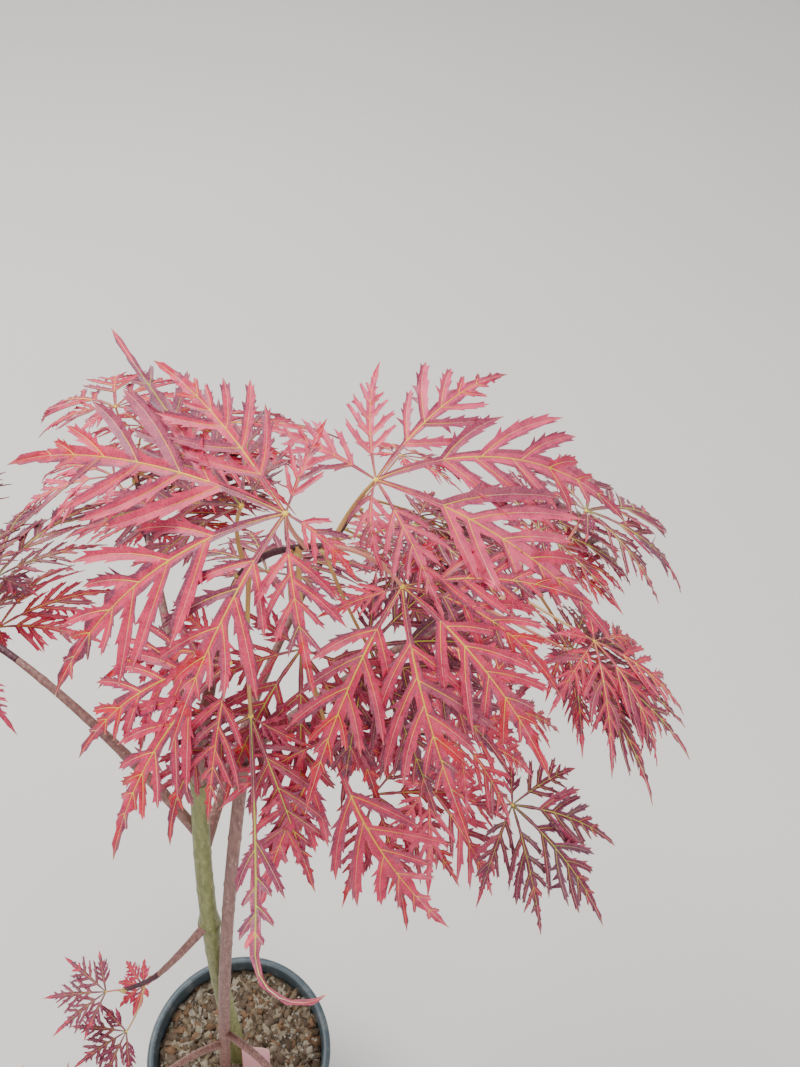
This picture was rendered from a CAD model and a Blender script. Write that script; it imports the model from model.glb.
# A young cut-leaved maple in its nursery pot, dressed for a studio picture.
# Blender lengths are metres. Lengths of plant and pot parts are written in millimetres and
# turned to metres by MM.
import math

import bpy
import numpy as np
from mathutils import Matrix, Vector
from mathutils.geometry import delaunay_2d_cdt


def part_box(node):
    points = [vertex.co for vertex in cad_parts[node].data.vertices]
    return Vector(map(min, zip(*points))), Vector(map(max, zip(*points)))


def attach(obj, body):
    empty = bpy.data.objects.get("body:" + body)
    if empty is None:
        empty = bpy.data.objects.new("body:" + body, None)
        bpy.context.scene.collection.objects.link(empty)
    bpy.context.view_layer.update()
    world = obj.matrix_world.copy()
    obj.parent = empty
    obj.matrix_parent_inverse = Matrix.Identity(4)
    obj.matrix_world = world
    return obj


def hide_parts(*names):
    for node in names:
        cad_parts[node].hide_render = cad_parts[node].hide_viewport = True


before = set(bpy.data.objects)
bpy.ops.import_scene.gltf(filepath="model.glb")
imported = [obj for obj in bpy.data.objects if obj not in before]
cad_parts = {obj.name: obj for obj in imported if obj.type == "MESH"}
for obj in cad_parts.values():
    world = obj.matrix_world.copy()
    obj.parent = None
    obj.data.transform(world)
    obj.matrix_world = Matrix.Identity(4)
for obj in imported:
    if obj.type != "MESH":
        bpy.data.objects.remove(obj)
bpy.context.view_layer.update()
MM = 0.001

# Camera
# The viewer holds a phone over the plant and looks down on its top leaves. The focal length
# is 1000 pixels of the 1067 that the picture is high.
CAMERA_AT = (0.066, -0.131, 0.768)
LOOK_DOWN = math.radians(51)
CAMERA_ROLL = math.radians(5.6)
FOCAL_PIXELS = 1000
PHOTO_HEIGHT = 1067

bpy.ops.object.select_all(action="DESELECT")
bpy.ops.object.camera_add()
camera = bpy.context.object
camera.data.sensor_width = 36
camera.data.lens = camera.data.sensor_width * FOCAL_PIXELS / PHOTO_HEIGHT
camera.data.clip_start = 0.01
camera.matrix_world = (
    Matrix.Translation(CAMERA_AT)
    @ Matrix.Rotation(math.pi / 2 - LOOK_DOWN, 4, "X")
    @ Matrix.Rotation(CAMERA_ROLL, 4, "Z")
)
bpy.context.scene.camera = camera

# Floor and light
# A pale matt floor, a large soft lamp behind and to the left as open sky gives, a weaker one
# in front, and an even grey surround.
FLOOR_SIZE = 8
LAMPS = [
    ("sky_lamp", (-0.75, 0.55, 1.75), 1.1, 40),
    ("front_lamp", (0.9, -1.3, 1.35), 1.4, 15),
]
LAMP_TARGET = Vector((0.03, 0.03, 0.45))
SURROUND = 0.65


def linear(hex_colour):
    """An sRGB hex colour as linear red, green, blue and alpha."""
    parts = [int(hex_colour[i : i + 2], 16) / 255 for i in (1, 3, 5)]
    return [p / 12.92 if p <= 0.04045 else ((p + 0.055) / 1.055) ** 2.4 for p in parts] + [1]


def material(name, colour, roughness, **values):
    """A new material and its node tree, with one Principled shader set to plain values."""
    made = bpy.data.materials.new(name)
    made.use_nodes = True
    made.diffuse_color = linear(colour)
    shader = made.node_tree.nodes["Principled BSDF"]
    shader.inputs["Base Color"].default_value = linear(colour)
    shader.inputs["Roughness"].default_value = roughness
    for key, value in values.items():
        shader.inputs[key.replace("_", " ")].default_value = value
    return made, made.node_tree, shader


def add(tree, kind, inputs, **settings):
    """Adds one node. An input is a plain value, or a socket that is linked to it."""
    made = tree.nodes.new(kind)
    for key, value in settings.items():
        setattr(made, key, value)
    for key, value in inputs.items():
        if isinstance(value, bpy.types.NodeSocket):
            tree.links.new(value, made.inputs[key])
        else:
            made.inputs[key].default_value = value
    return made


bpy.ops.mesh.primitive_plane_add(size=FLOOR_SIZE)
floor = bpy.context.object
floor.name = "studio_floor"
paper, tree, shader = material("matt_floor_paper", "#E4E1DC", 0.9)
place = add(tree, "ShaderNodeTexCoord", {})
cloud = add(tree, "ShaderNodeTexNoise", {"Vector": place.outputs["Object"], "Scale": 2.0, "Detail": 3})
tone = add(tree, "ShaderNodeMix", {"Factor": cloud.outputs["Fac"], "A": linear("#E7E4DF"),
                                   "B": linear("#DFDCD6")}, data_type="RGBA")
tree.links.new(tone.outputs["Result"], shader.inputs["Base Color"])
floor.data.materials.append(paper)

for name, where, size, watts in LAMPS:
    bpy.ops.object.light_add(type="AREA", location=where)
    lamp = bpy.context.object
    lamp.name = name
    lamp.data.size = size
    lamp.data.energy = watts
    lamp.rotation_euler = (LAMP_TARGET - Vector(where)).to_track_quat("-Z", "Y").to_euler()
world = bpy.data.worlds.new("studio_surround")
world.use_nodes = True
world.node_tree.nodes["Background"].inputs["Color"].default_value = (1, 1, 1, 1)
world.node_tree.nodes["Background"].inputs["Strength"].default_value = SURROUND
bpy.context.scene.world = world

# Pot
# A round 11 cm nursery pot, thin blue-black polypropylene injection moulded in one shot: a
# tapered wall with two shallow steps, a rolled lip, and six drain holes in its floor.
POT_SIDES = 128
POT_PROFILE = [
    (38.3, 0), (39.4, 0.4), (40, 1.5), (43.4, 28), (44, 29), (47.4, 58), (48, 59), (51.6, 88.4),
    (52, 89), (53.7, 89), (54.4, 89.4), (54.7, 91), (54.9, 95), (54.8, 96.3), (54.3, 97.3),
    (53.3, 98), (51.8, 98), (50.9, 97.6), (50.4, 96.6), (50.2, 94), (49.6, 88), (38.4, 3),
    (37.4, 2),
]
HOLE_COUNT = 6
HOLE_RING = 27
HOLE_RADIUS = 4.5
FLOOR_THICK = 2


def turned(name, profile, sides):
    """Turns a profile of radius and height, from the underside out, up and in again, by
    extruding a ring from step to step."""
    radius, height = profile[0]
    bpy.ops.mesh.primitive_circle_add(
        vertices=sides, radius=radius * MM, fill_type="NGON", location=(0, 0, height * MM))
    piece = bpy.context.object
    piece.name = name
    bpy.ops.object.transform_apply(location=True)
    bpy.ops.object.mode_set(mode="EDIT")
    bpy.ops.mesh.select_all(action="SELECT")
    bpy.ops.mesh.delete(type="ONLY_FACE")
    bpy.ops.mesh.select_all(action="SELECT")
    bpy.ops.mesh.edge_face_add()
    bpy.ops.mesh.select_mode(type="EDGE")
    for nearer, further in zip(profile, profile[1:]):
        bpy.ops.mesh.extrude_edges_move(
            TRANSFORM_OT_translate={"value": (0, 0, (further[1] - nearer[1]) * MM)})
        share = further[0] / nearer[0]
        bpy.ops.transform.resize(value=(share, share, 1), center_override=(0, 0, 0))
    bpy.ops.mesh.edge_face_add()
    bpy.ops.mesh.select_all(action="SELECT")
    bpy.ops.mesh.normals_make_consistent(inside=False)
    bpy.ops.object.mode_set(mode="OBJECT")
    return piece


def smooth(piece, degrees=35):
    """Shades a piece smooth, with its sharp edges kept."""
    bpy.ops.object.select_all(action="DESELECT")
    piece.select_set(True)
    bpy.context.view_layer.objects.active = piece
    bpy.ops.object.shade_smooth_by_angle(angle=math.radians(degrees))


pot = turned("nursery_pot", POT_PROFILE, POT_SIDES)
bpy.ops.object.select_all(action="DESELECT")
for i in range(HOLE_COUNT):
    angle = 2 * math.pi * (i + 0.5) / HOLE_COUNT
    bpy.ops.mesh.primitive_cylinder_add(
        vertices=32, radius=HOLE_RADIUS * MM, depth=4 * FLOOR_THICK * MM,
        location=(HOLE_RING * MM * math.cos(angle), HOLE_RING * MM * math.sin(angle), 0))
    drill = bpy.context.object
    cut = pot.modifiers.new("drain_hole", "BOOLEAN")
    cut.object = drill
    cut.operation = "DIFFERENCE"
    bpy.context.view_layer.objects.active = pot
    bpy.ops.object.modifier_apply(modifier=cut.name)
    bpy.data.objects.remove(drill)
smooth(pot)

# Polypropylene, injection moulded: satin, with a fine orange-peel, scuffs that catch the light
# and dry compost dust below the lip.
plastic, tree, shader = material("moulded_polypropylene", "#45535A", 0.42, IOR=1.49)
place = add(tree, "ShaderNodeTexCoord", {})
peel = add(tree, "ShaderNodeTexNoise",
           {"Vector": place.outputs["Object"], "Scale": 1 / (0.5 * MM), "Detail": 2})
drift = add(tree, "ShaderNodeMapping", {"Vector": place.outputs["Object"], "Scale": (1, 1, 0.25)})
dust = add(tree, "ShaderNodeTexNoise",
           {"Vector": drift.outputs["Vector"], "Scale": 1 / (9 * MM), "Detail": 8, "Roughness": 0.7})
dusty = add(tree, "ShaderNodeMapRange", {"Value": dust.outputs["Fac"], "From Min": 0.5, "From Max": 0.78,
                                         "To Min": 0, "To Max": 0.75})
tone = add(tree, "ShaderNodeMix", {"Factor": dusty.outputs["Result"], "A": linear("#45535A"),
                                   "B": linear("#858B8A")}, data_type="RGBA")
tree.links.new(tone.outputs["Result"], shader.inputs["Base Color"])
shine = add(tree, "ShaderNodeMapRange", {"Value": dust.outputs["Fac"], "To Min": 0.3, "To Max": 0.62})
tree.links.new(shine.outputs["Result"], shader.inputs["Roughness"])
bump = add(tree, "ShaderNodeBump", {"Height": peel.outputs["Fac"], "Strength": 0.25, "Distance": 0.1 * MM})
tree.links.new(bump.outputs["Normal"], shader.inputs["Normal"])
pot.data.materials.append(plastic)
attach(pot, "root")
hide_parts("pot")

# Compost
# Bark fines and grit that fill the pot to a centimetre below its lip, with loose chips, grey
# grit and pale perlite lying on top, heaped a little round the stems.
SOIL_LEVEL = 88
COMPOST_PROFILE = [(37.6, 2.4), (48.9, 85), (48.6, 86.4), (46, 86.2), (43, 85.9), (40, 85.8), (36, 86),
                   (32, 86.4), (28, 86.8), (24, 87.1), (20, 87.5), (16, 87.7), (12, 87.8), (8, 87.8),
                   (4, 87.8), (1, 87.8)]
COMPOST_SIDES = 96
CHIP_COUNT = 1500
CHIP_SIZES = [(3, 11), (2, 6.5), (0.8, 2.4)]
GRIT_COUNT = 1300
GRIT_SIZES = [(0.9, 2.4), (0.9, 2), (0.8, 1.7)]
CHIP_REACH = 47.5
CHIP_TIPS = (0.5, 0.4)
CORNER_SHARES = (0.55, 1.1)
COMPOST_FALL = 2.1
LEVEL_BEYOND = 38
CHIP_TINTS = ["#B5A78B", "#978569", "#75634F", "#C4B9A2", "#85745F", "#95704F", "#54442F"]
GRIT_TINTS = ["#B8B6AC", "#8E8C82", "#CFC9B9", "#6E6A60"]
STEM_FEET = [(0, 0, 6.5), (-7, -10, 4), (13, -14.5, 5)]


def dice(seed):
    """Repeatable random numbers between two limits, the same in every language."""
    state = seed * 7919 + 101

    def roll(low, high):
        nonlocal state
        state = (state * 16807) % 2147483647
        return low + (high - low) * state / 2147483647

    return roll


def mesh_piece(name, points, faces, materials, tints=None, smooth_degrees=None):
    """One piece from arrays: points in millimetres, triangles, and a material for each."""
    points = np.asarray(points, dtype=np.float32) * MM
    faces = np.asarray(faces, dtype=np.int32)
    mesh = bpy.data.meshes.new(name)
    mesh.vertices.add(len(points))
    mesh.vertices.foreach_set("co", points.ravel())
    mesh.loops.add(faces.size)
    mesh.loops.foreach_set("vertex_index", faces.ravel())
    mesh.polygons.add(len(faces))
    mesh.polygons.foreach_set("loop_start", np.arange(0, faces.size, 3, dtype=np.int32))
    for one in materials:
        mesh.materials.append(one)
    if tints is not None:
        mesh.polygons.foreach_set("material_index", np.asarray(tints, dtype=np.int32))
    mesh.update(calc_edges=True)
    mesh.validate()
    piece = bpy.data.objects.new(name, mesh)
    bpy.context.scene.collection.objects.link(piece)
    if smooth_degrees:
        smooth(piece, smooth_degrees)
    return piece


def mottled(name, colour, second, scale, roughness, rough_bump):
    """A matt surface of two near colours in soft patches, with a grain of the same scale."""
    made, tree, shader = material(name, colour, roughness)
    place = add(tree, "ShaderNodeTexCoord", {})
    patch = add(tree, "ShaderNodeTexNoise",
                {"Vector": place.outputs["Object"], "Scale": 1 / (scale * MM), "Detail": 5})
    tone = add(tree, "ShaderNodeMix", {"Factor": patch.outputs["Fac"], "A": linear(colour),
                                       "B": linear(second)}, data_type="RGBA")
    tree.links.new(tone.outputs["Result"], shader.inputs["Base Color"])
    bump = add(tree, "ShaderNodeBump",
               {"Height": patch.outputs["Fac"], "Strength": 0.6, "Distance": rough_bump * MM})
    tree.links.new(bump.outputs["Normal"], shader.inputs["Normal"])
    return made


compost = turned("compost_body", COMPOST_PROFILE, COMPOST_SIDES)
compost.data.materials.append(
    mottled("bark_fines", "#6A5A48", "#3C3026", scale=2.2, roughness=0.95, rough_bump=0.8))
smooth(compost)
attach(compost, "root")
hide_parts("compost")

CHIP_CORNERS = np.array([(x, y, z) for x in (-1, 1) for y in (-1, 1) for z in (-1, 1)], float)
CHIP_FACES = np.array([(0, 1, 3), (0, 3, 2), (4, 6, 7), (4, 7, 5), (0, 4, 5), (0, 5, 1),
                       (2, 3, 7), (2, 7, 6), (0, 2, 6), (0, 6, 4), (1, 5, 7), (1, 7, 3)])


def scatter(name, count, seed, sizes, lift, tints, second):
    """Loose angular bits on the compost, each a box with its corners knocked about. Sizes are
    limits of length, breadth and thickness."""
    roll = dice(seed)
    points, faces, colours = [], [], []
    while len(points) < count:
        reach = CHIP_REACH * math.sqrt(roll(0, 1))
        angle = roll(0, 2 * math.pi)
        spot = np.array([reach * math.cos(angle), reach * math.sin(angle)])
        halves = [0.5 * roll(*limits) for limits in sizes]
        turn = Matrix.Rotation(roll(0, 2 * math.pi), 3, "Z")
        for tip, axis in zip(CHIP_TIPS, "XY"):
            turn = turn @ Matrix.Rotation(roll(-tip, tip), 3, axis)
        jitter = np.array([roll(*CORNER_SHARES) for _ in range(24)]).reshape(8, 3)
        height = SOIL_LEVEL - COMPOST_FALL * min(reach / LEVEL_BEYOND, 1) ** 2 + roll(*lift)
        colour = int(roll(0, len(tints)))
        if any(math.dist(spot, foot[:2]) < foot[2] for foot in STEM_FEET):
            continue
        shape = (CHIP_CORNERS * jitter * halves) @ np.array(turn).T
        faces.append(CHIP_FACES + 8 * len(points))
        points.append(shape + [*spot, height])
        colours += [colour] * len(CHIP_FACES)
    finishes = [mottled(f"{name}_{i + 1}", tint, second, scale=1.5, roughness=0.9, rough_bump=0.3)
                for i, tint in enumerate(tints)]
    piece = mesh_piece(name, np.concatenate(points), np.concatenate(faces), finishes, colours)
    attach(piece, "root")
    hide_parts("compost")


scatter("bark_chips", CHIP_COUNT, 11, CHIP_SIZES, (-0.4, 1.5), CHIP_TINTS, "#3F3126")
scatter("grit_grains", GRIT_COUNT, 12, GRIT_SIZES, (0.2, 1.5), GRIT_TINTS, "#5E584C")

# Label
# A blank push-in tag of pink polystyrene sheet with a rounded head, leaning back in the
# front of the pot.
LABEL_WIDTH = 16
LABEL_THICK = 0.8
LABEL_LENGTH = 79
LABEL_DEPTH = 25.5
LABEL_LEAN = math.radians(9)
LABEL_CORNER = 4.5
LABEL_EDGE = 0.15
LABEL_PLACE = (13 * MM, -14.5 * MM, SOIL_LEVEL * MM)

bpy.ops.object.select_all(action="DESELECT")
bpy.ops.mesh.primitive_cube_add(size=1)
label = bpy.context.object
label.name = "blank_tag"
label.scale = (LABEL_WIDTH * MM, LABEL_THICK * MM, LABEL_LENGTH * MM)
label.location.z = (LABEL_LENGTH / 2 - LABEL_DEPTH) * MM
bpy.ops.object.transform_apply(location=True, scale=True)
bpy.ops.object.mode_set(mode="EDIT")
bpy.ops.mesh.select_mode(type="EDGE")
bpy.ops.mesh.select_all(action="DESELECT")
bpy.ops.object.mode_set(mode="OBJECT")
for edge in label.data.edges:
    ends = [label.data.vertices[i].co for i in edge.vertices]
    edge.select = abs(ends[0].y - ends[1].y) > 0.5 * LABEL_THICK * MM and ends[0].z > 0
bpy.ops.object.mode_set(mode="EDIT")
bpy.ops.mesh.bevel(offset=LABEL_CORNER * MM, segments=8)
bpy.ops.mesh.select_all(action="SELECT")
bpy.ops.mesh.bevel(offset=LABEL_EDGE * MM, segments=2, clamp_overlap=True)
bpy.ops.object.mode_set(mode="OBJECT")
label.rotation_euler = (-LABEL_LEAN, 0, 0)
label.location = LABEL_PLACE
bpy.ops.object.transform_apply(location=True, rotation=True)
# Polystyrene sheet, calendered: smooth and faintly cloudy, bleached paler in patches.
label.data.materials.append(
    mottled("pink_polystyrene", "#F3A6AE", "#F7C3C6", scale=14, roughness=0.38, rough_bump=0.02))
smooth(label)
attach(label, "root")
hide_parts("blank_label")

# Stems
# Two stems rise from the compost: the green one, with the knuckle where it was grafted, and
# a thinner brown-mauve one beside it. Young bark: smooth, with raised lenticels, a ring at
# each old pair of leaves, and a foot that spreads.
TRUNK_WAY = ([0, 0, 88.3], [-2, -2, 320], [10, 4, 467])
BROWN_WAY = ([-7, -10, 88.3], [8, -12, 330], [24, 8, 475])
GRAFT_HEIGHT = 334
KNUCKLE_HALF = 7
KNUCKLE_SWELL = 1.2
KNUCKLE_BULGE = 0.7
KNUCKLE_SIDE = 2.2
SCAR_HALF = 1.1
SCAR_ABOVE = 2
SCAR_DEPTH = 0.8
FLARE_HEIGHT = 7
FLARE_UNEVEN = 0.25
# Waves, rings and pores of the bark, in shares of its relief and, along and across it, in mm.
WAVES = (2, 3, 5)
WAVE_TURN = (4, 14)
WAVE_STAND = 0.35
RING_PLACE = (0.3, 0.7)
RING_HALF = 1.6
RING_STAND = 1.1
RING_UNEVEN = 0.35
PORE_HEIGHTS = (0.5, 1.1)
PORE_SIZES = (0.35, 0.8)
PORE_LENGTH = 1.3
PORE_WIDTH = 0.9
PORE_STAND = 1.5
UP = np.array([0.0, 0.0, 1.0])
# A curve steeper than this starts its frames from the x axis, any other from the z axis.
STEEP = 0.8
CURVE_SAMPLES = 200


def unit(vector):
    return vector / np.linalg.norm(vector)


def units(rows):
    return rows / np.linalg.norm(rows, axis=-1, keepdims=True)


class Bend:
    """A quadratic curve through space, as every limb, twig and leaf stalk follows."""

    def __init__(self, start, middle, end):
        self.start, self.middle, self.end = (np.array(p, float) for p in (start, middle, end))

    def point(self, t):
        return (1 - t) ** 2 * self.start + 2 * t * (1 - t) * self.middle + t * t * self.end

    def tangent(self, t):
        return unit(self.point(min(t + 1e-4, 1)) - self.point(max(t - 1e-4, 0)))

    def length(self):
        steps = np.array([self.point(i / CURVE_SAMPLES) for i in range(CURVE_SAMPLES + 1)])
        return float(np.linalg.norm(np.diff(steps, axis=0), axis=1).sum())


def frames_along(curve, steps):
    """Points along a curve with two directions across it that turn as little as they can."""
    frames = []
    side = np.array([1.0, 0, 0]) if abs(curve.tangent(0)[2]) > STEEP else UP
    for i in range(steps + 1):
        tangent = curve.tangent(i / steps)
        side = unit(side - tangent * side.dot(tangent))
        frames.append((curve.point(i / steps), side, np.cross(tangent, side)))
    return frames


def limb(curve, radius_at, sides, steps):
    """A closed round limb: its radius is a function of the way along, the angle and the height."""
    angles = np.arange(sides) * 2 * math.pi / sides
    rings = []
    for i, (point, side, other) in enumerate(frames_along(curve, steps)):
        radius = radius_at(i / steps, angles, point[2])
        rings.append(point + (radius * np.cos(angles))[:, None] * side
                     + (radius * np.sin(angles))[:, None] * other)
    points = np.concatenate(rings + [[curve.point(0)], [curve.point(1)]])
    around = np.arange(sides)
    beyond = (around + 1) % sides
    faces = []
    for i in range(steps):
        low, high = i * sides, (i + 1) * sides
        faces.append(np.stack([low + around, low + beyond, high + beyond], 1))
        faces.append(np.stack([low + around, high + beyond, high + around], 1))
    foot, tip = len(points) - 2, len(points) - 1
    faces.append(np.stack([beyond, around, np.full(sides, foot)], 1))
    faces.append(np.stack([steps * sides + around, steps * sides + beyond, np.full(sides, tip)], 1))
    return points, np.concatenate(faces)


def bark_relief(seed, length, girth, rings, lenticels, relief):
    """How far the bark stands out, as a function of the way along and the angle: soft waves
    round the stem, a ring at each old pair of leaves, and lenticels strewn by dice."""
    roll = dice(seed)
    ring_places = [(i + roll(*RING_PLACE)) / rings for i in range(rings)]
    spots = [(roll(0, 1), roll(0, 2 * math.pi), roll(*PORE_HEIGHTS), roll(*PORE_SIZES))
             for _ in range(lenticels)]
    waves = [(k, roll(*WAVE_TURN), roll(0, 6.28)) for k in WAVES]

    def stand_out(t, angles):
        out = np.zeros_like(angles)
        for k, speed, phase in waves:
            out += WAVE_STAND / k * np.sin(k * angles + speed * t + phase)
        for place in ring_places:
            near = math.exp(-(((t - place) * length / RING_HALF) ** 2))
            out += RING_STAND * near * (1 + RING_UNEVEN * np.cos(2 * angles))
        for place, turn, height, size in spots:
            along = (t - place) * length / (PORE_LENGTH * size)
            if abs(along) < 3:
                gap = (angles - turn + math.pi) % (2 * math.pi) - math.pi
                across = gap * girth / (PORE_WIDTH * size)
                out += PORE_STAND * height * np.exp(-(along**2) - across**2)
        return relief * out

    return stand_out


def stem_radius(foot, top, relief, flare, graft):
    """A tapering stem with relief, a spreading foot and, where it was grafted, a knuckle."""
    def radius(t, angles, height):
        out = foot + (top - foot) * t + relief(t, angles)
        spread = math.exp(-(height - SOIL_LEVEL) / FLARE_HEIGHT)
        out = out + flare * spread * (1 + FLARE_UNEVEN * np.cos(3 * angles + 1))
        if graft:
            near = math.exp(-(((height - GRAFT_HEIGHT) / KNUCKLE_HALF) ** 2))
            out = out + near * (KNUCKLE_SWELL + KNUCKLE_BULGE * np.cos(angles - KNUCKLE_SIDE))
            scar = (height - GRAFT_HEIGHT - SCAR_ABOVE) / SCAR_HALF
            out = out - SCAR_DEPTH * math.exp(-(scar**2))
        return out

    return radius


def bark(name, lit, shade, spot, streak, relief):
    """Young bark: two tones in streaks along the stem, and small pale breathing pores."""
    made, tree, shader = material(name, lit, 0.55, IOR=1.45)
    place = add(tree, "ShaderNodeTexCoord", {})
    along = add(tree, "ShaderNodeMapping", {"Vector": place.outputs["Object"], "Scale": (1, 1, 0.18)})
    streaks = add(tree, "ShaderNodeTexNoise", {"Vector": along.outputs["Vector"], "Detail": 6,
                                               "Scale": 1 / (streak * MM), "Roughness": 0.6})
    split = add(tree, "ShaderNodeMapRange", {"Value": streaks.outputs["Fac"], "From Min": 0.34,
                                             "From Max": 0.66})
    two = add(tree, "ShaderNodeMix", {"Factor": split.outputs["Result"], "A": linear(shade),
                                      "B": linear(lit)}, data_type="RGBA")
    pores = add(tree, "ShaderNodeTexVoronoi", {"Vector": along.outputs["Vector"], "Scale": 1 / (1.3 * MM)})
    dots = add(tree, "ShaderNodeMapRange", {"Value": pores.outputs["Distance"], "From Min": 0.1,
                                            "From Max": 0.26, "To Min": 0.7, "To Max": 0})
    tone = add(tree, "ShaderNodeMix", {"Factor": dots.outputs["Result"], "A": two.outputs["Result"],
                                       "B": linear(spot)}, data_type="RGBA")
    tree.links.new(tone.outputs["Result"], shader.inputs["Base Color"])
    height = add(tree, "ShaderNodeMath", {0: streaks.outputs["Fac"], 1: dots.outputs["Result"]},
                 operation="ADD")
    bump = add(tree, "ShaderNodeBump", {"Height": height.outputs["Value"], "Strength": 0.7,
                                        "Distance": relief * MM})
    tree.links.new(bump.outputs["Normal"], shader.inputs["Normal"])
    return made


green_bark = bark("green_young_bark", "#8E9058", "#666A3A", "#A9A477", streak=1.6, relief=0.25)
brown_bark = bark("mauve_young_bark", "#9A7168", "#6E4A48", "#BFA091", streak=1.4, relief=0.22)


def dressed(points_faces, name, finish, node):
    """A limb's piece, which rides with the plant and stands for its node."""
    piece = mesh_piece(name, *points_faces, [finish], smooth_degrees=60)
    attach(piece, "root")
    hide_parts(node)


trunk_curve = Bend(*TRUNK_WAY)
brown_curve = Bend(*BROWN_WAY)
relief = bark_relief(seed=21, length=380, girth=4, rings=9, lenticels=90, relief=0.16)
radius = stem_radius(foot=4.75, top=2.85, relief=relief, flare=2.3, graft=True)
dressed(limb(trunk_curve, radius, sides=40, steps=420), "green_stem", green_bark, "trunk")
relief = bark_relief(seed=22, length=388, girth=3, rings=10, lenticels=80, relief=0.14)
radius = stem_radius(foot=3.2, top=2.1, relief=relief, flare=0.4, graft=False)
dressed(limb(brown_curve, radius, sides=32, steps=380), "mauve_stem", brown_bark, "brown_stem")

# Boughs
# Eight thin boughs leave the stems, rise and arch over to their masses of leaves. The same
# young bark, purple-brown, with a swollen foot and a ring at each old pair of leaves.
BOUGHS = {
    "leader": (trunk_curve, 1, [13, 7, 505], [19, 34, 528]),
    "left": (trunk_curve, 0.86, [-18, 12, 478], [-52, 30, 486]),
    "back_left": (trunk_curve, 0.93, [-4, 40, 490], [-22, 82, 486]),
    "back": (trunk_curve, 0.8, [18, 50, 452], [36, 100, 458]),
    "back_right": (trunk_curve, 0.97, [48, 38, 482], [88, 70, 474]),
    "front_left": (brown_curve, 0.16, [-22, -28, 214], [-44, -62, 216]),
    "front_right": (brown_curve, 0.22, [38, -32, 226], [62, -66, 226]),
    "graft_shoot": (trunk_curve, 0.605, [-9, -12, 326], [-17, -17, 318]),
}
GAP = 0.3
TRUNK_TOP_RADIUS = 3
BOUGH_FOOT_RADIUS = 2.1
TWIG_RADIUS = 1.25
RING_SPACING = 28
PORE_SPACING = 5
# The relief stands out round a core this much thinner than the plain limb of the solid.
CORE_INSET = 0.05

bough_curves = {}
for seed, (name, (carrier, share, middle, tip)) in enumerate(BOUGHS.items()):
    start = carrier.point(share)
    foot = BOUGH_FOOT_RADIUS
    if share == 1:
        start = start + carrier.tangent(1) * GAP
        foot = TRUNK_TOP_RADIUS - GAP
    bough_curves[name] = Bend(start, middle, tip)
    length = bough_curves[name].length()
    relief = bark_relief(31 + seed, length, girth=2, rings=max(2, round(length / RING_SPACING)),
                         lenticels=round(length / PORE_SPACING), relief=0.12)

    def bough_radius(t, angles, height, foot=foot, relief=relief):
        return foot + (TWIG_RADIUS - foot) * t - CORE_INSET + relief(t, angles)

    dressed(limb(bough_curves[name], bough_radius, sides=18, steps=max(24, round(length * 1.2))),
            f"{name}_bough", brown_bark, f"bough_{name}")

# Where the leaves stand
# The rule that the solids follow, written again: a mass's stem goes on from its bough, pairs
# of leaves stand crosswise along it, and one that would touch what is there is thrown again.
LOBE_STEPS = 8
LOBE_RISE = 8
CURL_FROM = 0.6
LOBE_BEARINGS = [0, 40, -40, 78, -78, 130, -130]
LOBE_LENGTHS = [1, 0.94, 0.92, 0.68, 0.64, 0.3, 0.28]
LOBE_DROOPS = [52, 48, 48, 40, 40, 25, 25]
SMALL_LOBE = 32
STEM_SPRING = 0.45
STALK_SPRING = 0.55
CLEAR_OF_OTHERS = 8
CLEAR_OF_OWN = 4
CLAIM_SPACING = 6
TRUNK_REACH = 4.9
BROWN_REACH = 3.3
CROWN_AXIS = (25, 35)
THROWS = 8
# Where a lobe is tested for touching, beside its midrib: shares of its length along and across.
SAMPLES = [(0.47, 0.18), (0.68, 0.15), (0.85, 0.08)]
# How much the leaves of a mass vary: each is a low and a high limit.
FORWARD_PLAY = (0.2, 0.9)
STALK_SHARE = (0.34, 0.6)
STALK_SAG = (0, 0.25)
LEAF_TILT = (14, 34)
LEAF_TURN = (-20, 20)
LEAF_SIZE = (0.85, 1.12)
BEARING_PLAY = (-4, 4)
LENGTH_PLAY = (0.88, 1.1)
SWEEP_PLAY = (-9, 9)
DROOP_PLAY = (-10, 14)
CROSS_PLAY = (-25, 25)
# Pairs of leaves along a mass's stem.
LAST_PAIR = 0.98
PAIR_SPAN = 0.68
CROSS_TURN = 65
occupied = {"owner": [], "point": np.empty((0, 3)), "reach": []}


def claim(owner, points, reach):
    occupied["owner"] += [owner] * len(points)
    occupied["reach"] += [reach] * len(points)
    occupied["point"] = np.concatenate([occupied["point"], points])


def claim_limb(owner, curve, radius):
    count = math.ceil(curve.length() / CLAIM_SPACING)
    claim(owner, [curve.point(i / count) for i in range(count + 1)], radius)


def is_free(owner, points, others=CLEAR_OF_OTHERS, own=CLEAR_OF_OWN):
    same = np.array(occupied["owner"]) == owner
    clear = np.where(same, own, others) + np.array(occupied["reach"])
    gaps = np.array(points)[:, None] - occupied["point"][None]
    return bool(((gaps * gaps).sum(axis=2) > clear * clear).all())


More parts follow.
